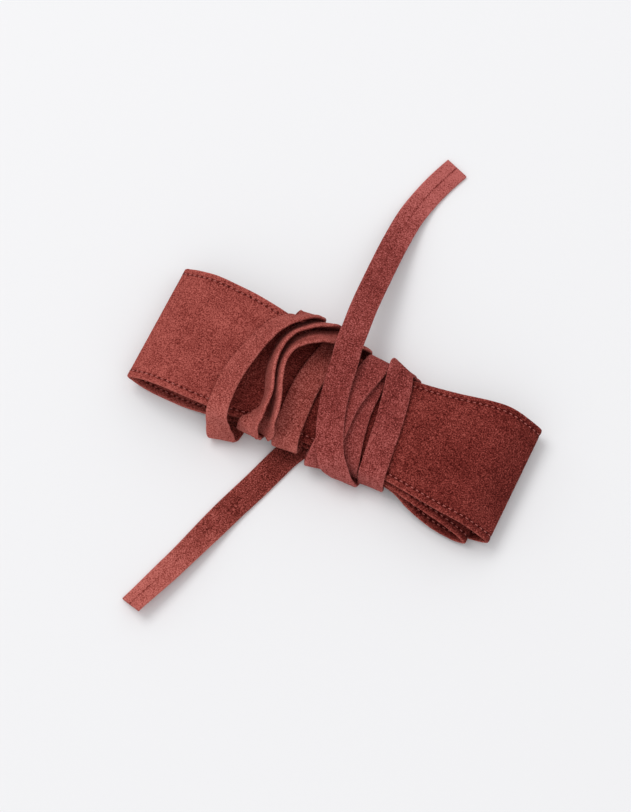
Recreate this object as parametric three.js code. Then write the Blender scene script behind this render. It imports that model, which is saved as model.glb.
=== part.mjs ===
// A suede tie belt, folded flat and bound round the middle by its own two ties.
// Millimetres, +Z up. X runs along the folded band, Y runs across it towards the far free end.
// The belt lies on the plane z = 0.
import * as THREE from 'three';

// Driving dimensions
const bandThickness = 2;
const tieWidth = 17;
const tieThickness = 2.2;
const gap = 0.3;
const layerPitch = 2.3;
const waistDrop = 4.5;
const lowestEdge = 8.6;

const suede = new THREE.MeshStandardMaterial({ color: 0x8f4640, roughness: 0.95, metalness: 0 });

const rowsOf = (columns, rows) =>
  rows.map((row) => Object.fromEntries(columns.map((name, i) => [name, row[i]])));

// Heights of the middle of each layer where the ties squeeze the roll
const waistLower = lowestEdge + waistDrop;
const waistInner = waistLower + layerPitch;

// The folded band, one row for each section, in order along the leather.
// x and z place the middle of the section, shift moves it along Y, width is how broad it lies,
// and drop is how far its two long edges hang below its middle.
const bandColumns = ['x', 'z', 'shift', 'width', 'drop'];

// From its narrow end in the middle of the roll to the inner fold
const innerLayer = rowsOf(bandColumns, [
  [-10, waistInner, 0, 18, 0.4],
  [8, waistInner, -0.3, 59, 3.6],
  [22, waistInner, -0.9, 62, 4],
  [39, 15.9, -0.5, 65.4, 4.2],
  [52, 16.5, -0.6, 69, 3.5],
  [66, 17.3, -1.2, 74, 2.4],
  [79, 18, -2, 78, 1],
  [91, 17.3, -3, 80, 0.3],
  [100, 13.4, -4, 80, 0],
  [106, 8.9, -4.6, 80, 0],
  [108.8, 6.1, -5, 80, 0],
  [107.6, 4.1, -5.2, 80, 0],
]);

// Back to the fold at the other end
const lowerLayer = rowsOf(bandColumns, [
  [101, 3.5, -5.4, 80.6, 0],
  [86, 4.4, -4.6, 80, 0.2],
  [70, 8.4, -3, 76, 1.4],
  [56, 11.4, -1.2, 69, 2.8],
  [39, 13, -0.8, 66.4, 4.2],
  [24, waistLower, -1.4, 64.4, 4.3],
  [8, waistLower, -1.2, 64, 4.2],
  [-7, waistLower, -0.2, 65.6, 4.4],
  [-20, waistLower, 0.7, 66, 4.3],
  [-38, 12.8, 0.8, 69, 3.9],
  [-53, 10.6, 0, 75, 2.8],
  [-70, 6, 0, 78.4, 1.4],
  [-83, 2.4, 0, 80, 0.5],
  [-92, 1, 0, 80, 0],
  [-103, 1, 0, 80, 0],
  [-111.5, 3, 0, 80, 0],
  [-118, 7.1, 0, 80, 0],
  [-121, 9.6, 0, 80, 0],
]);

// Over the top to the outer fold
const topLayer = rowsOf(bandColumns, [
  [-120.8, 11.6, 0, 80, 0],
  [-118, 13.8, 0, 80, 0],
  [-111, 18.4, 0, 80, 0],
  [-99, 22.8, 0, 80.5, 0],
  [-84, 24, 0, 80, 0.7],
  [-70, 24.3, 0, 79, 1.5],
  [-53, 22.9, 0, 76.4, 2.9],
  [-38, 20.3, 1.2, 70.6, 3.9],
  [-20, 18.8, 1.3, 67.2, 4.4],
  [-4, 18.3, 1, 66.4, 4.4],
  [10, 17.9, -0.5, 62.4, 4],
  [26, 18.5, -0.7, 61.6, 4],
  [39, 19.7, 0.4, 64.5, 4.3],
  [53, 21.8, 0, 67.6, 3.7],
  [69, 22.7, 0, 72, 2.5],
  [85, 24.5, 0, 77, 1.2],
  [97, 25.3, 0, 79.5, 0.3],
  [105, 23.4, 0, 80, 0],
  [112, 19, 0, 80, 0],
  [119, 13.4, 0, 80, 0],
  [121.4, 10.2, 0, 80, 0],
]);

// Underneath, to its other narrow end
const underneathLayer = rowsOf(bandColumns, [
  [119.6, 7.4, 0, 80, 0],
  [114, 3.4, 0, 80, 0],
  [106, 1, 0, 80, 0],
  [88, 1, 0, 79, 0],
  [76, 2, 0, 60, 0],
  [62, 4.4, 0, 18, 0],
]);

// A layer's section at a place along the band
function sectionAt(layer, x) {
  const after = Math.max(1, layer.findIndex((row, i) => i > 0 && (row.x - x) * (layer[i - 1].x - x) <= 0));
  const a = layer[after - 1];
  const b = layer[after];
  const part = THREE.MathUtils.clamp((x - a.x) / (b.x - a.x), 0, 1);
  return Object.fromEntries(bandColumns.map((name) => [name, THREE.MathUtils.lerp(a[name], b[name], part)]));
}

// One closed body between an outer and an inner skin, each a grid of points with the same rows and columns
function closedSheet(outer, inner) {
  const rows = outer.length;
  const columns = outer[0].length;
  const positions = [...outer.flat(), ...inner.flat()].flatMap((point) => point.toArray());
  const outerAt = (i, j) => i * columns + j;
  const innerAt = (i, j) => (rows + i) * columns + j;
  const faces = [];
  const quad = (a, b, c, d) => faces.push(a, b, c, a, c, d);
  for (let i = 0; i < rows - 1; i += 1) {
    for (let j = 0; j < columns - 1; j += 1) {
      quad(outerAt(i, j), outerAt(i + 1, j), outerAt(i + 1, j + 1), outerAt(i, j + 1));
      quad(innerAt(i, j), innerAt(i, j + 1), innerAt(i + 1, j + 1), innerAt(i + 1, j));
    }
    quad(outerAt(i, 0), innerAt(i, 0), innerAt(i + 1, 0), outerAt(i + 1, 0));
    const j = columns - 1;
    quad(outerAt(i, j), outerAt(i + 1, j), innerAt(i + 1, j), innerAt(i, j));
  }
  for (let j = 0; j < columns - 1; j += 1) {
    quad(outerAt(0, j), outerAt(0, j + 1), innerAt(0, j + 1), innerAt(0, j));
    const i = rows - 1;
    quad(outerAt(i, j), innerAt(i, j), innerAt(i, j + 1), outerAt(i, j + 1));
  }
  const geometry = new THREE.BufferGeometry();
  geometry.setAttribute('position', new THREE.Float32BufferAttribute(positions, 3));
  geometry.setIndex(faces);
  return geometry;
}

// Smooth values between the rows of a table, with the same number of steps in every interval
function smoothRows(table, steps) {
  const names = Object.keys(table[0]);
  const curves = names.map((name) => {
    const values = table.map((row) => new THREE.Vector3(row[name], 0, 0));
    return new THREE.CatmullRomCurve3(values, false, 'catmullrom');
  });
  const count = (table.length - 1) * steps;
  return Array.from({ length: count + 1 }, (_, k) =>
    Object.fromEntries(names.map((name, i) => [name, curves[i].getPoint(k / count).x])),
  );
}

// The folded band: a grid of points across each section, thickened to both sides
function makeBand() {
  const stepsPerRow = 2;
  const across = 8;
  const sections = smoothRows([...innerLayer, ...lowerLayer, ...topLayer, ...underneathLayer], stepsPerRow);
  const middle = sections.map((row) =>
    Array.from({ length: across + 1 }, (_, j) => {
      const t = (2 * j) / across - 1;
      return new THREE.Vector3(row.x, row.shift + (t * row.width) / 2, row.z - row.drop * t * t);
    }),
  );
  const skin = (side) =>
    middle.map((points, i) =>
      points.map((point, j) => {
        const next = middle[Math.min(i + 1, middle.length - 1)][j];
        const along = next.clone().sub(middle[Math.max(i - 1, 0)][j]);
        const sideways = points[Math.min(j + 1, across)].clone().sub(points[Math.max(j - 1, 0)]);
        const normal = along.cross(sideways).normalize();
        const skinPoint = point.clone().addScaledVector(normal, (side * bandThickness) / 2);
        skinPoint.z = Math.max(skinPoint.z, 0);
        return skinPoint;
      }),
    );
  return closedSheet(skin(1), skin(-1));
}

// Height of the middle of a tie under the roll, with so many other ties below it
const floorHeight = (level) => tieThickness / 2 + level * (tieThickness + gap);

// The places that a tight turn passes on its way round the roll, from its near foot to its far foot.
// at is -1 on the near edge of a layer and 1 on its far edge, skin is what the layer's own thickness
// adds, lower is how far below that point the tie passes, and faces is the way the tie's outer face
// looks there, in degrees up from +Y.
const placeColumns = ['layer', 'at', 'skin', 'lower', 'faces'];
const places = rowsOf(placeColumns, [
  [lowerLayer, -1, 0, 0, 180],
  [topLayer, -1, bandThickness / 2, 0, 125],
  [topLayer, -0.6, bandThickness / 2, 0, 99],
  [topLayer, 0, bandThickness / 2, 0, 90],
  [topLayer, 0.6, bandThickness / 2, 0, 81],
  [topLayer, 1, bandThickness / 2, 0, 50],
  [topLayer, 1, 0, 4.5, 0],
]);

// The outer face's direction, when the tie tips to the left of its way
function faceDirection(faces, tip) {
  const looks = THREE.MathUtils.degToRad(faces);
  const left = THREE.MathUtils.degToRad(tip);
  return new THREE.Vector3(
    -Math.sin(left),
    Math.cos(looks) * Math.cos(left),
    Math.sin(looks) * Math.cos(left),
  );
}

// Where a tie goes under the roll's near or far edge, with its outer face looking down and outwards
const nearFootFaces = 235;
const farFootFaces = -55;
function foot(x, side, level, beyondEdge = 1) {
  const edge = sectionAt(lowerLayer, x);
  return {
    point: new THREE.Vector3(x, edge.shift + side * (edge.width / 2 + beyondEdge), floorHeight(level) + gap),
    face: faceDirection(side < 0 ? nearFootFaces : farFootFaces, 0),
  };
}

// A tight turn, with x, how far the tie stands off the roll and how far it tips at each place
function tightTurn({ x, out, tip }) {
  return places.slice(0, x.length).map((place, i) => {
    const section = sectionAt(place.layer, x[i]);
    const looks = THREE.MathUtils.degToRad(place.faces);
    const distance = place.skin + gap + tieThickness / 2 + out[i];
    return {
      point: new THREE.Vector3(
        x[i],
        section.shift + (place.at * section.width) / 2 + distance * Math.cos(looks),
        section.z - section.drop * place.at ** 2 - place.lower + distance * Math.sin(looks),
      ),
      face: faceDirection(place.faces, tip[i]),
    };
  });
}

// A loose stretch. Its outer face looks along the compass, in degrees from +X towards +Y, and up.
const looseColumns = ['x', 'y', 'z', 'compass', 'up'];
function looseTurn(rows) {
  return rowsOf(looseColumns, rows).map(({ x, y, z, compass, up }) => ({
    point: new THREE.Vector3(x, y, z),
    face: new THREE.Vector3().setFromSphericalCoords(
      1,
      THREE.MathUtils.degToRad(90 - up),
      THREE.MathUtils.degToRad(compass + 90),
    ).applyAxisAngle(new THREE.Vector3(1, 0, 0), Math.PI / 2),
  }));
}

// A crossing under the roll, between two feet, with its level at four places on the way
const crossingPlaces = [0.08, 0.36, 0.64, 0.92];
function underCrossing(from, to, levels) {
  return crossingPlaces.map((part, i) => {
    const point = from.point.clone().lerp(to.point, part);
    point.z = floorHeight(levels[i]);
    return { point, face: new THREE.Vector3(0, 0, -1) };
  });
}

// The tie with the near free end. It leaves the inner layer, comes out between the layers,
// and goes round four times.
const nearTie = {
  start: looseTurn([
    [-10.8, 0, waistInner, -90, -90],
    [-14.6, -0.2, waistInner, -90, -90],
    [-21, -3.6, waistInner, -90, -90],
    [-23.6, -11, 15, 90, -87],
    [-20.4, -18.6, 14.1, 90, -80],
    [-15.6, -25.5, 13, 90, -78],
    [-13.7, -30.5, 11.9, 90, -77],
    [-13.6, -35.2, 10.9, 90, -82],
  ]),
  turns: [
    // lies flat on the roll
    [
      ...looseTurn([[-13.8, -39.9, 12.2, -90, 10]]),
      ...tightTurn({
        x: [-13.4, -15.4, -17.4, -18, -15, -12, -10.6],
        out: [0, 3.2, 0.7, 0.3, 0.4, 0.5, 0.4],
        tip: [0, 0, -4, -4, -3, 0, 0],
      }).slice(1),
      foot(-9, 1, 2),
    ],
    // bends round the near edge at its full width, then stands on its edge
    looseTurn([
      [-38.5, -36, 4.3, -104, -60],
      [-38.3, -39.2, 7.8, -90, 0],
      [-37.6, -40.3, 13.5, -92, 6],
      [-37.8, -40.7, 20.6, -113, 22],
      [-36, -33.8, 26.8, -158, 22],
      [-34.6, -25, 28.8, 180, 18],
      [-35.9, -16, 29.5, 180, 18],
      [-39.5, -7, 30.6, 180, 19],
      [-41.9, 2, 31.2, 180, 20],
      [-42.6, 12, 30.9, 178, 23],
      [-41, 22.4, 29.5, 170, 30],
      [-34.8, 32.6, 26.6, 152, 38],
      [-27.6, 39.8, 22, 124, 38],
      [-23.2, 42.7, 16, 105, 14],
      [-22.2, 42.6, 9.5, 103, 0],
      [-21.5, 37.8, 3.6, 92, -60],
    ]),
    // the broad loose arch
    looseTurn([
      [-50.4, -34.5, 1.2, -90, -90],
      [-51.4, -42, 1.2, -80, -85],
      [-52.2, -48.2, 3.6, -65, -45],
      [-53.4, -48.6, 9.4, -68, -5],
      [-56, -45.8, 18.4, -96, 20],
      [-58.6, -41.4, 28, -128, 43],
      [-59.8, -31, 31.4, -165, 54],
      [-60.2, -17, 31.4, 180, 56],
      [-58.5, -4, 31.8, 180, 54],
      [-55.6, 9.5, 31.6, 180, 50],
      [-51.2, 22.5, 31, 180, 45],
      [-44.6, 32, 29.8, 168, 42],
      [-38, 38, 26.2, 138, 36],
      [-35.4, 43, 19.4, 98, 18],
      [-35.8, 44.2, 12.8, 96, 0],
      [-38.6, 42.4, 7.6, 90, -40],
      [-40, 37, 5.9, 90, -80],
    ]),
    // stands on its edge beside the second and sweeps along the far edge
    looseTurn([
      [-32.8, -35, 6.8, -86, -45],
      [-32.8, -36.2, 10.2, -86, 0],
      [-32.4, -37.2, 15.2, -92, 8],
      [-28.8, -35.8, 21.8, -126, 20],
      [-26.8, -29.2, 28, -170, 22],
      [-29.2, -20, 30.4, 180, 24],
      [-33.6, -9.6, 31.6, 180, 24],
      [-36.8, 1.6, 32.6, 180, 25],
      [-36.6, 11.6, 32.4, 176, 31],
      [-33, 20.4, 31, 162, 42],
      [-25.8, 28, 28.8, 138, 48],
      [-18.8, 33.3, 23.3, 110, 47],
      [-12.4, 37, 20.4, 97, 46],
      [-6, 38.4, 18, 92, 40],
      [-1.6, 39.4, 14.6, 90, 20],
      [-1.2, 40, 9, 90, 0],
      [-1, 36, 1.8, 90, -60],
    ]),
  ],
  levels: [
    [2, 2, 1.7, 1.2],
    [0.9, 0.8, 0.2, 0],
    [1.95, 3, 3, 2.25],
    [0, 0, 0, 0],
  ],
  // lies flat at first, then turns up on its left edge towards the tip
  end: looseTurn([
    [-9.2, -33, 1.1, -90, -90],
    [-12.5, -40.4, 1.1, -90, -90],
    [-20.8, -65.6, 1.1, -90, -90],
    [-28.3, -87.4, 1.6, -19, -87],
    [-42, -131.9, 4.1, -19, -69],
    [-54.1, -167, 5.5, -19, -58],
  ]),
};

// The tie with the far free end. It leaves the underneath layer, comes out under the roll,
// and goes round four times.
const farTie = {
  start: looseTurn([
    [60.8, 0, 4.7, -90, -90],
    [57, -0.2, 5.1, -90, -90],
    [48, -4.2, 6, -90, -90],
    [39.5, -12, 6.3, -90, -90],
    [31.5, -21.5, 6.2, -90, -90],
    [27, -30, 6.1, -90, -88],
  ]),
  turns: [
    // lies flat and tight
    [
      foot(25.4, -1, 2),
      ...tightTurn({
        x: [25, 24.2, 20.4, 17, 16.6, 16.2, 16.2],
        out: [0.5, 0.5, 0.5, 0.5, 0.5, 0.6, 1.2],
        tip: [0, 2, 3, 2, 2, 0, 0],
      }),
      foot(16.2, 1, 2),
    ],
    // rests one half on the first
    [
      foot(7, -1, 2),
      ...tightTurn({
        x: [9, 9.8, 9.6, 9.2, 12.4, 15.6, 16.1],
        out: [6.2, 4.6, 3.2, 3.1, 3.9, 3.5, 3.9],
        tip: [-16, -4, 12, 13, 8, 0, 0],
      }),
      foot(16.3, 1, 1, 3),
    ],
    // the outermost on that side
    [
      foot(42.4, -1, 1, 1.6),
      ...tightTurn({
        x: [42.4, 42, 40, 37.4, 33.4, 29.4, 31.4],
        out: [1, 1.3, 0.9, 0.8, 2, 5.2, 4.4],
        tip: [0, 5, 6, 5, 0, -16, -8],
      }),
      foot(35, 1, 0, 2),
    ],
    // passes over all the others
    [
      foot(27, -1, 0, 4.4),
      ...tightTurn({
        x: [25.8, 16.6, 7.4, 0.8, -3.2],
        out: [6.6, 8, 6.5, 5.9, 9.4],
        tip: [0, 0, 3, 3, 0],
      }),
    ],
  ],
  levels: [
    [2.1, 2.1, 2, 2],
    [0.9, 1, 1, 1],
    [0, 0, 0, 0],
  ],
  end: looseTurn([
    [-5, 32, 29.7, 30, 83],
    [-6.6, 45, 27, 90, 83],
    [-8.6, 60, 23, 90, 80],
    [-10.6, 87, 16, 90, 80],
    [-12, 116, 8.4, 90, 80],
    [-11.6, 137, 3.8, 90, 82],
    [-9, 153, 1.6, 90, 88],
    [-5.2, 167, 1.1, 90, 90],
    [0.1, 181.6, 1.1, 90, 90],
  ]),
};

// All the rows of one tie, from its start in the roll to its free end
function tieRoute({ start, turns, levels, end }) {
  const parts = [start];
  turns.forEach((turn, k) => {
    parts.push(turn);
    if (k < levels.length) {
      const next = turns[k + 1] ?? end;
      parts.push(underCrossing(turn[turn.length - 1], next[0], levels[k]));
    }
  });
  return [...parts.flat(), ...end];
}

// The flat strap along a route, four corners at each station
function makeTie(route) {
  const stepsPerRow = 4;
  const count = (route.length - 1) * stepsPerRow;
  const curve = new THREE.CatmullRomCurve3(route.map((row) => row.point), false, 'centripetal');
  const squareTo = (travel, face) => face.clone().addScaledVector(travel, -face.dot(travel)).normalize();
  const faces = route.map((row, i) => squareTo(curve.getTangent(i / (route.length - 1)), row.face));
  const outer = [];
  const inner = [];
  for (let k = 0; k <= count; k += 1) {
    const point = curve.getPoint(k / count);
    const travel = curve.getTangent(k / count);
    const from = Math.min(Math.floor(k / stepsPerRow), route.length - 2);
    const part = THREE.MathUtils.smoothstep(k / stepsPerRow - from, 0, 1);
    const face = squareTo(travel, faces[from].clone().lerp(faces[from + 1], part));
    const sideways = new THREE.Vector3().crossVectors(travel, face);
    const corner = (side, out) => {
      const place = point.clone().addScaledVector(sideways, (side * tieWidth) / 2);
      place.addScaledVector(face, (out * tieThickness) / 2);
      place.z = Math.max(place.z, 0);
      return place;
    };
    outer.push([corner(1, 1), corner(-1, 1)]);
    inner.push([corner(1, -1), corner(-1, -1)]);
  }
  return closedSheet(outer, inner);
}

function piece(name, geometry) {
  const mesh = new THREE.Mesh(geometry, suede);
  mesh.name = name;
  return mesh;
}

const belt = new THREE.Group();
belt.add(piece('band', makeBand()));
belt.add(piece('tie_with_near_end', makeTie(tieRoute(nearTie))));
belt.add(piece('tie_with_far_end', makeTie(tieRoute(farTie))));

// The origin is the middle of the whole outline
const outline = new THREE.Box3().setFromObject(belt).getCenter(new THREE.Vector3());
belt.position.set(-outline.x, -outline.y, 0);

export default belt;
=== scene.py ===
import math

import bpy
import numpy as np
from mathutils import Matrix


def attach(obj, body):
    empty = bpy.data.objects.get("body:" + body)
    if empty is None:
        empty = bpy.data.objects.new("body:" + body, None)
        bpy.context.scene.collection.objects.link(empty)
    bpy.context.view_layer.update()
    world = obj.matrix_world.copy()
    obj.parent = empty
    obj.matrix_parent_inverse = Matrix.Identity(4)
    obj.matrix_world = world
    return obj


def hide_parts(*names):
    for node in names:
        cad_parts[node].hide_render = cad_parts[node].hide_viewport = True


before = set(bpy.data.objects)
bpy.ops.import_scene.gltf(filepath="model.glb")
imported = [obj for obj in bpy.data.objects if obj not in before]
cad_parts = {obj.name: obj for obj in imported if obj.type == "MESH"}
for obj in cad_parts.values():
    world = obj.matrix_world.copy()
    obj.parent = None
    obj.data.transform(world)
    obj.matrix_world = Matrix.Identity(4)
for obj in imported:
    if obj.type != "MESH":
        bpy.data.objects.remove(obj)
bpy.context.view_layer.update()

# The band
# The wide waist piece, one strip of brick-red suede 80 mm wide with its long edges turned in and stitched.
# It is folded into a flat roll of four layers, squeezed in the middle by the ties.
mm = 0.001
band_thickness = 2.0
layer_pitch = 2.3
waist_lower = 13.1
waist_inner = waist_lower + layer_pitch

# Each row is a section across the band, in order along the leather: x and z of its middle,
# its shift along Y, how broad it lies, and how far its two long edges hang below its middle
section_columns = ("x", "z", "shift", "width", "drop")
inner_layer = [
    (-10, waist_inner, 0, 18, 0.4),
    (8, waist_inner, -0.3, 59, 3.6),
    (22, waist_inner, -0.9, 62, 4),
    (39, 15.9, -0.5, 65.4, 4.2),
    (52, 16.5, -0.6, 69, 3.5),
    (66, 17.3, -1.2, 74, 2.4),
    (79, 18, -2, 78, 1),
    (91, 17.3, -3, 80, 0.3),
    (100, 13.4, -4, 80, 0),
    (106, 8.9, -4.6, 80, 0),
    (108.8, 6.1, -5, 80, 0),
    (107.6, 4.1, -5.2, 80, 0),
]
lower_layer = [
    (101, 3.5, -5.4, 80.6, 0),
    (86, 4.4, -4.6, 80, 0.2),
    (70, 8.4, -3, 76, 1.4),
    (56, 11.4, -1.2, 69, 2.8),
    (39, 13, -0.8, 66.4, 4.2),
    (24, waist_lower, -1.4, 64.4, 4.3),
    (8, waist_lower, -1.2, 64, 4.2),
    (-7, waist_lower, -0.2, 65.6, 4.4),
    (-20, waist_lower, 0.7, 66, 4.3),
    (-38, 12.8, 0.8, 69, 3.9),
    (-53, 10.6, 0, 75, 2.8),
    (-70, 6, 0, 78.4, 1.4),
    (-83, 2.4, 0, 80, 0.5),
    (-92, 1, 0, 80, 0),
    (-103, 1, 0, 80, 0),
    (-111.5, 3, 0, 80, 0),
    (-118, 7.1, 0, 80, 0),
    (-121, 9.6, 0, 80, 0),
]
top_layer = [
    (-120.8, 11.6, 0, 80, 0),
    (-118, 13.8, 0, 80, 0),
    (-111, 18.4, 0, 80, 0),
    (-99, 22.8, 0, 80.5, 0),
    (-84, 24, 0, 80, 0.7),
    (-70, 24.3, 0, 79, 1.5),
    (-53, 22.9, 0, 76.4, 2.9),
    (-38, 20.3, 1.2, 70.6, 3.9),
    (-20, 18.8, 1.3, 67.2, 4.4),
    (-4, 18.3, 1, 66.4, 4.4),
    (10, 17.9, -0.5, 62.4, 4),
    (26, 18.5, -0.7, 61.6, 4),
    (39, 19.7, 0.4, 64.5, 4.3),
    (53, 21.8, 0, 67.6, 3.7),
    (69, 22.7, 0, 72, 2.5),
    (85, 24.5, 0, 77, 1.2),
    (97, 25.3, 0, 79.5, 0.3),
    (105, 23.4, 0, 80, 0),
    (112, 19, 0, 80, 0),
    (119, 13.4, 0, 80, 0),
    (121.4, 10.2, 0, 80, 0),
]
underneath_layer = [
    (119.6, 7.4, 0, 80, 0),
    (114, 3.4, 0, 80, 0),
    (106, 1, 0, 80, 0),
    (88, 1, 0, 79, 0),
    (76, 2, 0, 60, 0),
    (62, 4.4, 0, 18, 0),
]

# The tables are drawn from the middle of the band, and the part's origin is the middle of its outline
outline_middle = np.array([0.07, 7.545, 0.0])

# The turned edge, measured in from the long edge: where the points of a section lie, the rim that stays
# round, the row of stitches, the puffed strip outside it, and the dent that the thread pulls, which is
# deepest at the holes and has a share of that depth between them
edge_points = (0.0, 0.12, 0.45, 1.0, 1.9, 3.0, 3.75, 4.2, 4.65, 5.5)
points_to_middle = 4
edge_rim = 0.05
stitch_inset = 4.2
stitch_pitch = 3.8
steps_per_stitch = 4
puff_inset = 2.3
puff_reach = 1.1
edge_puff = 0.16
stitch_dent = 0.34
dent_reach = 0.5
between_holes = 0.3


def smooth_rows(rows, places):
    """Values between the rows of a table, on smooth curves through them."""
    padded = np.vstack([2 * rows[0] - rows[1], rows, 2 * rows[-1] - rows[-2]])
    first = np.clip(np.floor(places).astype(int), 0, len(rows) - 2)
    part = (places - first)[:, None]
    before, start, end, after = (padded[first + k] for k in range(4))
    leave = (end - before) / 2
    arrive = (after - start) / 2
    bend = 3 * (end - start) - 2 * leave - arrive
    twist = 2 * (start - end) + leave + arrive
    return start + leave * part + bend * part**2 + twist * part**3


def even_places(points, places, step):
    """Places along a line of points that lie one step apart, measured on the line."""
    gone = np.concatenate([[0], np.cumsum(np.linalg.norm(np.diff(points, axis=0), axis=1))])
    marks = np.linspace(0, gone[-1], int(gone[-1] / step) + 1)
    return np.interp(marks, gone, places), marks


def unit(vectors):
    """The same directions at length one."""
    return vectors / np.linalg.norm(vectors, axis=-1, keepdims=True)


def closed_piece(name, rings, material, **marks):
    """A mesh through rings of points, each once round the section, with both ends closed.
    marks are values for each point that the material reads."""
    rows, around = rings.shape[:2]
    index = np.arange(rows * around).reshape(rows, around)
    onward = np.roll(index, -1, axis=1)
    sides = np.stack([index[:-1], onward[:-1], onward[1:], index[1:]], axis=-1).reshape(-1, 4)
    half = around // 2
    first_end = [(j, around - j, around - j - 1, j + 1) for j in range(1, half - 1)]
    first_end = [(0, around - 1, 1), *first_end, (half - 1, half + 1, half)]
    last_end = [tuple(int(index[-1][k]) for k in face[::-1]) for face in first_end]
    mesh = bpy.data.meshes.new(name)
    places = (rings.reshape(-1, 3) - outline_middle) * mm
    mesh.from_pydata(places, [], [*sides.tolist(), *first_end, *last_end])
    for mark, values in marks.items():
        attribute = mesh.attributes.new(mark, "FLOAT", "POINT")
        attribute.data.foreach_set("value", values.astype(np.float32).ravel())
    mesh.shade_smooth()
    mesh.materials.append(material)
    piece = bpy.data.objects.new(name, mesh)
    bpy.context.scene.collection.objects.link(piece)
    return piece


def suede(name, dark, middling, light):
    """Napped leather: cloudy tone, short fibres, and a soft bloom at glancing angles."""
    material = bpy.data.materials.new(name)
    material.use_nodes = True
    nodes = material.node_tree.nodes
    link = material.node_tree.links.new
    shader = nodes["Principled BSDF"]
    shader.inputs["Roughness"].default_value = 0.95
    shader.inputs["Specular IOR Level"].default_value = 0.06
    shader.inputs["Sheen Weight"].default_value = 0.10
    shader.inputs["Sheen Roughness"].default_value = 0.45
    shader.inputs["Sheen Tint"].default_value = (0.8, 0.32, 0.27, 1)
    where = nodes.new("ShaderNodeTexCoord").outputs["Object"]

    def cloud(per_metre, detail, weight):
        noise = nodes.new("ShaderNodeTexNoise")
        noise.inputs["Scale"].default_value = per_metre
        noise.inputs["Detail"].default_value = detail
        link(where, noise.inputs["Vector"])
        scaled = nodes.new("ShaderNodeMath")
        scaled.operation = "MULTIPLY_ADD"
        scaled.inputs[1].default_value = weight
        scaled.inputs[2].default_value = -weight / 2
        link(noise.outputs["Fac"], scaled.inputs[0])
        return scaled.outputs[0]

    def total(first, second):
        both = nodes.new("ShaderNodeMath")
        both.operation = "ADD"
        link(first, both.inputs[0])
        link(second, both.inputs[1])
        return both.outputs[0]

    handled_and_lit = cloud(per_metre=45, detail=3, weight=0.5)
    mottle = cloud(per_metre=230, detail=3, weight=0.4)
    fibres = cloud(per_metre=1300, detail=2, weight=2.4)
    # The mark read here holds the nap's tone together with painted light and painted shade
    nap = nodes.new("ShaderNodeAttribute")
    nap.attribute_name = "nap"
    tone = total(total(total(handled_and_lit, mottle), fibres), nap.outputs["Fac"])
    colour = nodes.new("ShaderNodeValToRGB")
    colour.color_ramp.elements[0].color = (*dark, 1)
    colour.color_ramp.elements[1].color = (*light, 1)
    colour.color_ramp.elements.new(position=0.5).color = (*middling, 1)
    link(tone, colour.inputs["Fac"])
    link(colour.outputs["Color"], shader.inputs["Base Color"])
    relief = nodes.new("ShaderNodeBump")
    relief.inputs["Strength"].default_value = 0.3
    relief.inputs["Distance"].default_value = 0.0004
    link(total(mottle, fibres), relief.inputs["Height"])
    link(relief.outputs["Normal"], shader.inputs["Normal"])
    return material


# Sections at even steps along the leather, measured on a line with many rough steps for each row
rough_steps = 40
layers = np.array([*inner_layer, *lower_layer, *top_layer, *underneath_layer], float)
rough_places = np.linspace(0, len(layers) - 1, rough_steps * len(layers))
rough_line = smooth_rows(layers, rough_places)[:, :2]
section_places, band_run = even_places(rough_line, rough_places, stitch_pitch / steps_per_stitch)
sections = dict(zip(section_columns, smooth_rows(layers, section_places).T))
band_length = band_run[-1]

# How far in from the near edge each point of a section lies, as a share of the way or as a distance
share = np.linspace(0, 1, points_to_middle + 1)[1:]
half_width = sections["width"][:, None] / 2
inset = np.hstack([
    np.broadcast_to(edge_points, (len(half_width), len(edge_points))),
    edge_points[-1] + (half_width - edge_points[-1]) * share,
])
across = np.hstack([inset - half_width, (half_width - inset)[:, -2::-1]])
inset = np.hstack([inset, inset[:, -2::-1]])
fall = sections["drop"][:, None] * (across / half_width) ** 2
middle = np.stack(
    [
        np.broadcast_to(sections["x"][:, None], across.shape),
        sections["shift"][:, None] + across,
        sections["z"][:, None] - fall,
    ],
    axis=-1,
)
lengthwise = np.gradient(middle, axis=0)
crosswise = np.gradient(middle, axis=1)
band_normal = unit(np.cross(lengthwise, crosswise))

# Half the thickness at each point: a round edge, a puffed strip, and the dent of the stitching
round_edge = np.sqrt(np.clip(1 - (1 - np.clip(inset, 0, 1)) ** 2, 0, 1)) * band_thickness / 2
puff = edge_puff * np.exp(-(((inset - puff_inset) / puff_reach) ** 2))
pull = np.cos(2 * math.pi * band_run[:, None] / stitch_pitch)
at_hole = (1 + between_holes) / 2 + (1 - between_holes) / 2 * pull
dent = stitch_dent * at_hole * np.exp(-(((inset - stitch_inset) / dent_reach) ** 2))
half_thickness = round_edge + np.where(inset > edge_rim, puff - dent, 0)
outer_skin = middle + band_normal * half_thickness[..., None]
inner_skin = middle - band_normal * half_thickness[..., None]
band_rings = np.concatenate([outer_skin, inner_skin[:, -2:0:-1]], axis=1)
band_rings[..., 2] = np.maximum(band_rings[..., 2], 0)
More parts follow.
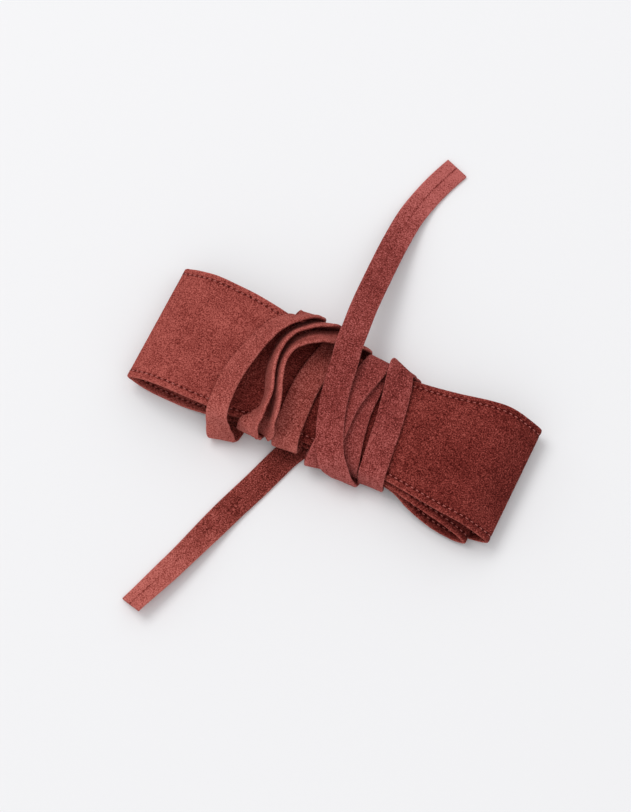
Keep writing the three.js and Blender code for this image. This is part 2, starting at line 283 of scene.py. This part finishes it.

# The tone is lighter towards the single fold and darker towards the double one. Painted shade darkens it
# under the ties, from where the left edge of the broad arch leans on the band. It is paler at the edges, and
# painted shade makes it darkest at the holes of the stitching. Its tone runs from 0 for dark to 1 for light.
lean_y = (-31, -17, -4, 11, 25, 36.5)
lean_x = (-66.8, -67.2, -65.4, -61.9, -57, -49)
arch_shade_fade = 1.6
tie_shade_to = 40
tie_shade_fade = 5
along_band = middle[..., 0]
tie_shade_from = np.interp(middle[..., 1], lean_y, lean_x)
# Painted shade under the ties, from the broad arch's left edge fading out past the middle of the waist
shade_under_ties = 1 / (1 + np.exp((tie_shade_from - along_band) / arch_shade_fade)) / (
    1 + np.exp((along_band - tie_shade_to) / tie_shade_fade)
)
plain_tone = 0.5
slope_tone = 0.22
slope_reach = 90
lightest_slope = -0.7
tie_shade_tone = 0.25
edge_tone = 0.45
hole_shade_tone = 1.3
tone_reach = 0.6
slope = np.clip(along_band / slope_reach, lightest_slope, 1)
nap_tone = plain_tone - slope_tone * slope - tie_shade_tone * shade_under_ties
in_row = np.exp(-(((inset - stitch_inset) / tone_reach) ** 2))
# Painted shade in the holes of the stitching
holes_shade = hole_shade_tone * (at_hole - between_holes) * in_row
nap_worn = nap_tone + edge_tone * np.exp(-inset / tone_reach) - holes_shade
band_nap = np.concatenate([nap_worn, nap_worn[:, -2:0:-1]], axis=1)

band_suede = suede(
    "band_suede",
    dark=(0.055, 0.004, 0.003),
    middling=(0.20, 0.032, 0.025),
    light=(0.42, 0.103, 0.083),
)
band = closed_piece("band", band_rings, band_suede, nap=band_nap)
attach(band, "root")
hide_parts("band")

# The stitching
# One row of tone-on-tone thread near each long edge of the band, seen on both of its faces.
# Each stitch lies in the dent, bows up and dips into the leather at both ends, where it is thinner.
thread_radius = 0.32
thread_end = 0.55
stitch_length = 2.2
stitch_rise = 0.34
stitch_dip = 0.1
thread_sides = 6
thread_rings = 5

thread = bpy.data.materials.new("stitching_thread")
thread.use_nodes = True
thread_shader = thread.node_tree.nodes["Principled BSDF"]
thread_shader.inputs["Roughness"].default_value = 0.55
thread_shader.inputs["Sheen Weight"].default_value = 0.2
thread_twist = thread.node_tree.nodes.new("ShaderNodeTexNoise")
thread_twist.inputs["Scale"].default_value = 2500
thread_colour = thread.node_tree.nodes.new("ShaderNodeValToRGB")
thread_colour.color_ramp.elements[0].color = (0.20, 0.03, 0.024, 1)
thread_colour.color_ramp.elements[1].color = (0.58, 0.14, 0.11, 1)
thread.node_tree.links.new(thread_twist.outputs["Fac"], thread_colour.inputs["Fac"])
thread.node_tree.links.new(thread_colour.outputs["Color"], thread_shader.inputs["Base Color"])

stitch_column = edge_points.index(stitch_inset)
holes = np.arange(stitch_pitch, band_length - 2 * stitch_pitch, stitch_pitch)
stitch_starts = holes + (stitch_pitch - stitch_length) / 2
around_thread = np.arange(thread_sides) * 2 * math.pi / thread_sides
stitch_points = []
stitch_faces = []
for face_skin, face_side in ((outer_skin, 1), (inner_skin, -1)):
    for column in (stitch_column, -1 - stitch_column):
        row_points = face_skin[:, column]
        row_up = band_normal[:, column] * face_side
        for start in stitch_starts:
            along = start + np.linspace(0, stitch_length, thread_rings)
            line = np.stack([np.interp(along, band_run, row_points[:, k]) for k in range(3)], axis=-1)
            up = unit(np.stack([np.interp(along, band_run, row_up[:, k]) for k in range(3)], axis=-1))
            bow = np.sin(np.linspace(0, math.pi, thread_rings))
            line = line + up * (stitch_rise * bow - stitch_dip)[:, None]
            aside = unit(np.cross(np.gradient(line, axis=0), up))
            thickness = thread_radius * (thread_end + (1 - thread_end) * bow)
            ring = (
                line[:, None]
                + aside[:, None] * (thickness[:, None] * np.cos(around_thread))[..., None]
                + up[:, None] * (thickness[:, None] * np.sin(around_thread))[..., None]
            )
            ring[..., 2] = np.maximum(ring[..., 2], 0)
            first = len(stitch_points)
            stitch_points.extend((ring.reshape(-1, 3) - outline_middle) * mm)
            for r in range(thread_rings - 1):
                near = first + r * thread_sides
                far = near + thread_sides
                for k in range(thread_sides):
                    onward = (k + 1) % thread_sides
                    stitch_faces.append((near + k, near + onward, far + onward, far + k))
            stitch_faces.append(tuple(range(first + thread_sides - 1, first - 1, -1)))
            last = first + (thread_rings - 1) * thread_sides
            stitch_faces.append(tuple(range(last, last + thread_sides)))
stitch_mesh = bpy.data.meshes.new("band_stitching")
stitch_mesh.from_pydata(stitch_points, [], stitch_faces)
stitch_mesh.shade_smooth()
stitch_mesh.materials.append(thread)
stitching = bpy.data.objects.new("band_stitching", stitch_mesh)
bpy.context.scene.collection.objects.link(stitching)
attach(stitching, "root")

# The ties
# A narrow strip of the same suede leaves each end of the band. Each is folded to the middle from both
# sides, so it has two round edges and a seam down its back, and it is wound round the roll by hand.
tie_width = 17.0
tie_thickness = 2.2
gap = 0.3
tie_step = 0.9
least_step = 1e-4

# Points from the seam to the edge, the groove of the seam and the lips on both sides of it
half_columns = (0, 0.1, 0.4, 1.1, 2.6, 4.6, 6.6, 7.6, 8.15, 8.5)
seam_depth = 0.5
seam_reach = 0.3
seam_lip = 0.1
lip_place = 0.9
lip_reach = 0.6

# The tie is lighter where hands pull the free end and at its edges, with painted light where it looks to the
# near side and painted shade in the seam
handled_tone = 0.5
handled_reach = 0.085
near_side_painted_light = 0.26
rim_tone = 0.22
groove_shade_tone = 0.5
groove_reach = 0.45

# Where a tight turn passes: the layer's near edge is -1 and its far edge 1, then what the layer's own
# thickness adds, how far below that point the tie passes, and where its outer face looks, up from +Y
half_band = band_thickness / 2
turn_places = [
    (lower_layer, -1, 0, 0, 180),
    (top_layer, -1, half_band, 0, 125),
    (top_layer, -0.6, half_band, 0, 99),
    (top_layer, 0, half_band, 0, 90),
    (top_layer, 0.6, half_band, 0, 81),
    (top_layer, 1, half_band, 0, 50),
    (top_layer, 1, 0, 4.5, 0),
]

# Where the outer face looks at the feet, up from +Y, and the places of a crossing under the roll
near_foot_faces = 235
far_foot_faces = -55
crossing_places = (0.08, 0.36, 0.64, 0.92)


def section_at(layer, x):
    """A layer's section at a place along the band."""
    rows = sorted(layer)
    return {name: np.interp(x, [row[0] for row in rows], [row[k] for row in rows])
            for k, name in enumerate(section_columns)}


def floor_height(level):
    """The middle of a tie under the roll, with so many other ties below it."""
    return tie_thickness / 2 + level * (tie_thickness + gap)


def face_direction(faces, tip):
    """Where the outer face looks when the tie tips to the left of its way."""
    looks = math.radians(faces)
    left = math.radians(tip)
    return (-math.sin(left), math.cos(looks) * math.cos(left), math.sin(looks) * math.cos(left))


def foot(x, side, level, beyond_edge=1.0):
    """Where a tie goes under the roll's near or far edge."""
    edge = section_at(lower_layer, x)
    y = edge["shift"] + side * (edge["width"] / 2 + beyond_edge)
    faces = near_foot_faces if side < 0 else far_foot_faces
    return [((x, y, floor_height(level) + gap), face_direction(faces, 0))]


def tight_turn(places_x, out, tip):
    """A turn that lies on the roll."""
    rows = []
    for (layer, at, skin, lower, faces), x, off, lean in zip(turn_places, places_x, out, tip):
        section = section_at(layer, x)
        looks = math.radians(faces)
        distance = skin + gap + tie_thickness / 2 + off
        y = section["shift"] + at * section["width"] / 2 + distance * math.cos(looks)
        z = section["z"] - section["drop"] * at**2 - lower + distance * math.sin(looks)
        rows.append(((x, y, z), face_direction(faces, lean)))
    return rows


def loose_turn(*rows):
    """A loose stretch: x, y, z, and where its outer face looks by compass, from +X to +Y, and up."""
    return [
        ((x, y, z), (
            math.cos(math.radians(compass)) * math.cos(math.radians(up)),
            math.sin(math.radians(compass)) * math.cos(math.radians(up)),
            math.sin(math.radians(up)),
        ))
        for x, y, z, compass, up in rows
    ]


def under_crossing(leaves, arrives, levels):
    """A crossing under the roll between two feet, with its level at four places on the way."""
    start = np.array(leaves[0])
    end = np.array(arrives[0])
    rows = []
    for part, level in zip(crossing_places, levels):
        x, y, _ = start + (end - start) * part
        rows.append(((x, y, floor_height(level)), (0, 0, -1)))
    return rows


def tie_route(start, turns, levels, end):
    """All the rows of one tie, from its start in the roll to its free end."""
    route = [*start]
    for k, turn in enumerate(turns):
        route += turn
        if k < len(levels):
            following = turns[k + 1] if k + 1 < len(turns) else end
            route += under_crossing(turn[-1], following[0], levels[k])
    return route + end


def strap_line(points, places):
    """Points on an even curve through the route, which never overshoots a short stretch."""
    padded = np.vstack([2 * points[0] - points[1], points, 2 * points[-1] - points[-2]])
    first = np.clip(np.floor(places).astype(int), 0, len(points) - 2)
    part = (places - first)[:, None]
    before, start, end, after = (padded[first + k] for k in range(4))
    spans = [np.linalg.norm(b - a, axis=1, keepdims=True) ** 0.5
             for a, b in ((before, start), (start, end), (end, after))]
    back = (start - before) / spans[0]
    here = (end - start) / spans[1]
    on = (after - end) / spans[2]
    leave = spans[1] * (back - (end - before) / (spans[0] + spans[1]) + here)
    arrive = spans[1] * (here - (after - start) / (spans[1] + spans[2]) + on)
    bend = 3 * (end - start) - 2 * leave - arrive
    twist = 2 * (start - end) + leave + arrive
    return start + leave * part + bend * part**2 + twist * part**3


def travel_at(points, places):
    """The way the strap runs at each place."""
    last = len(points) - 1
    small = least_step * last
    ahead = strap_line(points, np.clip(places + small, 0, last))
    behind = strap_line(points, np.clip(places - small, 0, last))
    return unit(ahead - behind)


def square_to(travel, face):
    """The face turned square to the way the strap runs."""
    return unit(face - travel * np.sum(face * travel, axis=1, keepdims=True))


def wound_tie(name, route, seam_side, material, seam_rest, seam_open, outer_tone, inner_tone):
    """A folded strap along its route. seam_side is 1 with the seam on the outer face and -1 on the inner.
    The seam opens over the last seam_open metres, and is pressed to a share of seam_rest before that.
    The tones are how light the two faces are."""
    points = np.array([row[0] for row in route], float)
    faces = np.array([row[1] for row in route], float)
    faces = square_to(travel_at(points, np.arange(len(route), dtype=float)), faces)
    rough = np.linspace(0, len(route) - 1, rough_steps * len(route))
    places, run = even_places(strap_line(points, rough), rough, tie_step)
    line = strap_line(points, places)
    travel = travel_at(points, places)
    first = np.clip(np.floor(places).astype(int), 0, len(route) - 2)
    part = places - first
    eased = (part * part * (3 - 2 * part))[:, None]
    face = square_to(travel, faces[first] * (1 - eased) + faces[first + 1] * eased)
    sideways = np.cross(travel, face)
    edge = tie_width / 2
    columns = np.array(half_columns)
    columns = np.concatenate([columns - edge, (edge - columns)[-2::-1]])
    from_edge = edge - np.abs(columns)
    radius = tie_thickness / 2
    round_edge = np.sqrt(np.clip(1 - (1 - np.clip(from_edge / radius, 0, 1)) ** 2, 0, 1)) * radius
    from_tip = (run[-1] - run) * mm
    opened = np.clip(1 - from_tip / seam_open, 0, 1)
    handled = np.clip(1 - from_tip / handled_reach, 0, 1)
    seam_share = (seam_rest + (1 - seam_rest) * opened)[:, None]
    lips = seam_lip * np.exp(-(((np.abs(columns) - lip_place) / lip_reach) ** 2))
    seam = seam_share * (lips - seam_depth * np.exp(-((columns / seam_reach) ** 2)))
    plain = np.zeros_like(seam)
    outer_height = round_edge + (seam if seam_side > 0 else plain)
    inner_height = round_edge + (seam if seam_side < 0 else plain)
    spread = line[:, None] + sideways[:, None] * columns[::-1, None]
    outer = spread + face[:, None] * outer_height[..., None]
    inner = spread - face[:, None] * inner_height[..., None]
    rings = np.concatenate([outer, inner[:, -2:0:-1]], axis=1)
    rings[..., 2] = np.maximum(rings[..., 2], 0)
    # Painted light along stretches that look to the near side
    handled_and_lit = handled_tone * handled + near_side_painted_light * np.clip(-face[:, 1], 0, 1)
    handled_lit_and_rims = handled_and_lit[:, None] + rim_tone * np.exp(-from_edge / tone_reach)
    # Painted shade in the groove of the seam
    seam_shade = handled_lit_and_rims - groove_shade_tone * seam_share * np.exp(-((columns / groove_reach) ** 2))
    outer_nap = outer_tone + (seam_shade if seam_side > 0 else handled_lit_and_rims)
    inner_nap = inner_tone + (seam_shade if seam_side < 0 else handled_lit_and_rims)
    tie = closed_piece(name, rings, material, nap=np.concatenate([outer_nap, inner_nap[:, -2:0:-1]], axis=1))
    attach(tie, "root")
    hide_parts(name)


# The tie with the near free end
# It leaves the inner layer, comes out between the layers and goes round four times: once flat on the roll,
# twice standing loosely on its edge with a broad arch between them. Its free end lies towards the camera
# with its inner face up, and turns up on its left edge towards the tip.
near_start = loose_turn(
    (-10.8, 0, waist_inner, -90, -90),
    (-14.6, -0.2, waist_inner, -90, -90),
    (-21, -3.6, waist_inner, -90, -90),
    (-23.6, -11, 15, 90, -87),
    (-20.4, -18.6, 14.1, 90, -80),
    (-15.6, -25.5, 13, 90, -78),
    (-13.7, -30.5, 11.9, 90, -77),
    (-13.6, -35.2, 10.9, 90, -82),
)
flat_turn = [
    *loose_turn((-13.8, -39.9, 12.2, -90, 10)),
    *tight_turn(
        (-13.4, -15.4, -17.4, -18, -15, -12, -10.6),
        out=(0, 3.2, 0.7, 0.3, 0.4, 0.5, 0.4),
        tip=(0, 0, -4, -4, -3, 0, 0),
    )[1:],
    *foot(-9, 1, 2),
]
standing_turn = loose_turn(
    (-38.5, -36, 4.3, -104, -60),
    (-38.3, -39.2, 7.8, -90, 0),
    (-37.6, -40.3, 13.5, -92, 6),
    (-37.8, -40.7, 20.6, -113, 22),
    (-36, -33.8, 26.8, -158, 22),
    (-34.6, -25, 28.8, 180, 18),
    (-35.9, -16, 29.5, 180, 18),
    (-39.5, -7, 30.6, 180, 19),
    (-41.9, 2, 31.2, 180, 20),
    (-42.6, 12, 30.9, 178, 23),
    (-41, 22.4, 29.5, 170, 30),
    (-34.8, 32.6, 26.6, 152, 38),
    (-27.6, 39.8, 22, 124, 38),
    (-23.2, 42.7, 16, 105, 14),
    (-22.2, 42.6, 9.5, 103, 0),
    (-21.5, 37.8, 3.6, 92, -60),
)
broad_arch = loose_turn(
    (-50.4, -34.5, 1.2, -90, -90),
    (-51.4, -42, 1.2, -80, -85),
    (-52.2, -48.2, 3.6, -65, -45),
    (-53.4, -48.6, 9.4, -68, -5),
    (-56, -45.8, 18.4, -96, 20),
    (-58.6, -41.4, 28, -128, 43),
    (-59.8, -31, 31.4, -165, 54),
    (-60.2, -17, 31.4, 180, 56),
    (-58.5, -4, 31.8, 180, 54),
    (-55.6, 9.5, 31.6, 180, 50),
    (-51.2, 22.5, 31, 180, 45),
    (-44.6, 32, 29.8, 168, 42),
    (-38, 38, 26.2, 138, 36),
    (-35.4, 43, 19.4, 98, 18),
    (-35.8, 44.2, 12.8, 96, 0),
    (-38.6, 42.4, 7.6, 90, -40),
    (-40, 37, 5.9, 90, -80),
)
sweeping_turn = loose_turn(
    (-32.8, -35, 6.8, -86, -45),
    (-32.8, -36.2, 10.2, -86, 0),
    (-32.4, -37.2, 15.2, -92, 8),
    (-28.8, -35.8, 21.8, -126, 20),
    (-26.8, -29.2, 28, -170, 22),
    (-29.2, -20, 30.4, 180, 24),
    (-33.6, -9.6, 31.6, 180, 24),
    (-36.8, 1.6, 32.6, 180, 25),
    (-36.6, 11.6, 32.4, 176, 31),
    (-33, 20.4, 31, 162, 42),
    (-25.8, 28, 28.8, 138, 48),
    (-18.8, 33.3, 23.3, 110, 47),
    (-12.4, 37, 20.4, 97, 46),
    (-6, 38.4, 18, 92, 40),
    (-1.6, 39.4, 14.6, 90, 20),
    (-1.2, 40, 9, 90, 0),
    (-1, 36, 1.8, 90, -60),
)
near_end = loose_turn(
    (-9.2, -33, 1.1, -90, -90),
    (-12.5, -40.4, 1.1, -90, -90),
    (-20.8, -65.6, 1.1, -90, -90),
    (-28.3, -87.4, 1.6, -19, -87),
    (-42, -131.9, 4.1, -19, -69),
    (-54.1, -167, 5.5, -19, -58),
)
near_route = tie_route(
    near_start,
    [flat_turn, standing_turn, broad_arch, sweeping_turn],
    [(2, 2, 1.7, 1.2), (0.9, 0.8, 0.2, 0), (1.95, 3, 3, 2.25), (0, 0, 0, 0)],
    near_end,
)
near_suede = suede(
    "near_tie_suede",
    dark=(0.06, 0.006, 0.004),
    middling=(0.25, 0.047, 0.037),
    light=(0.48, 0.135, 0.112),
)
wound_tie(
    "tie_with_near_end",
    near_route,
    -1,
    near_suede,
    seam_rest=0.25,
    seam_open=0.030,
    outer_tone=0.53,
    inner_tone=0.33,
)

# The tie with the far free end
# It leaves the underneath layer, comes out under the roll and goes round four times, lying flat each time.
# Its last turn passes over all the others, and its free end lies away from the camera.
far_start = loose_turn(
    (60.8, 0, 4.7, -90, -90),
    (57, -0.2, 5.1, -90, -90),
    (48, -4.2, 6, -90, -90),
    (39.5, -12, 6.3, -90, -90),
    (31.5, -21.5, 6.2, -90, -90),
    (27, -30, 6.1, -90, -88),
)
first_tight = [
    *foot(25.4, -1, 2),
    *tight_turn(
        (25, 24.2, 20.4, 17, 16.6, 16.2, 16.2),
        out=(0.5, 0.5, 0.5, 0.5, 0.5, 0.6, 1.2),
        tip=(0, 2, 3, 2, 2, 0, 0),
    ),
    *foot(16.2, 1, 2),
]
half_over_first = [
    *foot(7, -1, 2),
    *tight_turn(
        (9, 9.8, 9.6, 9.2, 12.4, 15.6, 16.1),
        out=(6.2, 4.6, 3.2, 3.1, 3.9, 3.5, 3.9),
        tip=(-16, -4, 12, 13, 8, 0, 0),
    ),
    *foot(16.3, 1, 1, 3),
]
outermost = [
    *foot(42.4, -1, 1, 1.6),
    *tight_turn(
        (42.4, 42, 40, 37.4, 33.4, 29.4, 31.4),
        out=(1, 1.3, 0.9, 0.8, 2, 5.2, 4.4),
        tip=(0, 5, 6, 5, 0, -16, -8),
    ),
    *foot(35, 1, 0, 2),
]
over_all = [
    *foot(27, -1, 0, 4.4),
    *tight_turn(
        (25.8, 16.6, 7.4, 0.8, -3.2),
        out=(6.6, 8, 6.5, 5.9, 9.4),
        tip=(0, 0, 3, 3, 0),
    ),
]
far_end = loose_turn(
    (-5, 32, 29.7, 30, 83),
    (-6.6, 45, 27, 90, 83),
    (-8.6, 60, 23, 90, 80),
    (-10.6, 87, 16, 90, 80),
    (-12, 116, 8.4, 90, 80),
    (-11.6, 137, 3.8, 90, 82),
    (-9, 153, 1.6, 90, 88),
    (-5.2, 167, 1.1, 90, 90),
    (0.1, 181.6, 1.1, 90, 90),
)
far_route = tie_route(
    far_start,
    [first_tight, half_over_first, outermost, over_all],
    [(2.1, 2.1, 2, 2), (0.9, 1, 1, 1), (0, 0, 0, 0)],
    far_end,
)
far_suede = suede(
    "far_tie_suede",
    dark=(0.06, 0.006, 0.005),
    middling=(0.22, 0.039, 0.033),
    light=(0.45, 0.122, 0.110),
)
wound_tie(
    "tie_with_far_end",
    far_route,
    1,
    far_suede,
    seam_rest=0.15,
    seam_open=0.075,
    outer_tone=0.45,
    inner_tone=0.45,
)

# The table and the light
# A plain pale floor, lit by a broad soft light from the upper left and by the pale room.
floor_mesh = bpy.data.meshes.new("floor")
floor_half = 6
floor_corners = [(x * floor_half, y * floor_half, 0) for x, y in ((-1, -1), (1, -1), (1, 1), (-1, 1))]
floor_mesh.from_pydata(floor_corners, [], [(0, 1, 2, 3)])
floor_paint = bpy.data.materials.new("floor_paint")
floor_paint.use_nodes = True
floor_shader = floor_paint.node_tree.nodes["Principled BSDF"]
floor_shader.inputs["Base Color"].default_value = (0.80, 0.80, 0.805, 1)
floor_shader.inputs["Roughness"].default_value = 0.9
floor_shader.inputs["Specular IOR Level"].default_value = 0.1
floor_mesh.materials.append(floor_paint)
floor = bpy.data.objects.new("floor", floor_mesh)
bpy.context.scene.collection.objects.link(floor)


def aim(thing, place, target):
    """Puts a light or camera in its place, looking at the target."""
    thing.location = place
    way = np.array(target) - np.array(place)
    thing.rotation_euler = (
        math.atan2(math.hypot(way[0], way[1]), -way[2]),
        0,
        math.atan2(-way[0], way[1]),
    )


window = bpy.data.lights.new("window", "AREA")
window.shape = "RECTANGLE"
window.size = 4.0
window.size_y = 3.0
window.energy = 155
window_light = bpy.data.objects.new("window", window)
bpy.context.scene.collection.objects.link(window_light)
aim(window_light, (-3.4, 1.2, 5.2), (0, 0, 0))

room = bpy.data.worlds.new("room")
room.use_nodes = True
room.node_tree.nodes["Background"].inputs["Color"].default_value = (0.985, 0.985, 1.0, 1)
room.node_tree.nodes["Background"].inputs["Strength"].default_value = 0.85
bpy.context.scene.world = room
bpy.context.scene.view_settings.view_transform = "Standard"

# The camera
# It looks down at 70 degrees from the near side, a little to the right, as the photograph was taken.
camera_azimuth = math.radians(25.94)
camera_elevation = math.radians(70)
camera_distance = 1.5
camera_target = np.array([-0.010875, -0.01069, 0.0])
camera = bpy.data.cameras.new("camera")
camera.sensor_fit = "HORIZONTAL"
camera.sensor_width = 36
camera.lens = 138.5
camera_object = bpy.data.objects.new("camera", camera)
bpy.context.scene.collection.objects.link(camera_object)
camera_back = np.array([
    math.sin(camera_azimuth) * math.cos(camera_elevation),
    -math.cos(camera_azimuth) * math.cos(camera_elevation),
    math.sin(camera_elevation),
])
aim(camera_object, camera_target + camera_distance * camera_back, camera_target)
bpy.context.scene.camera = camera_object
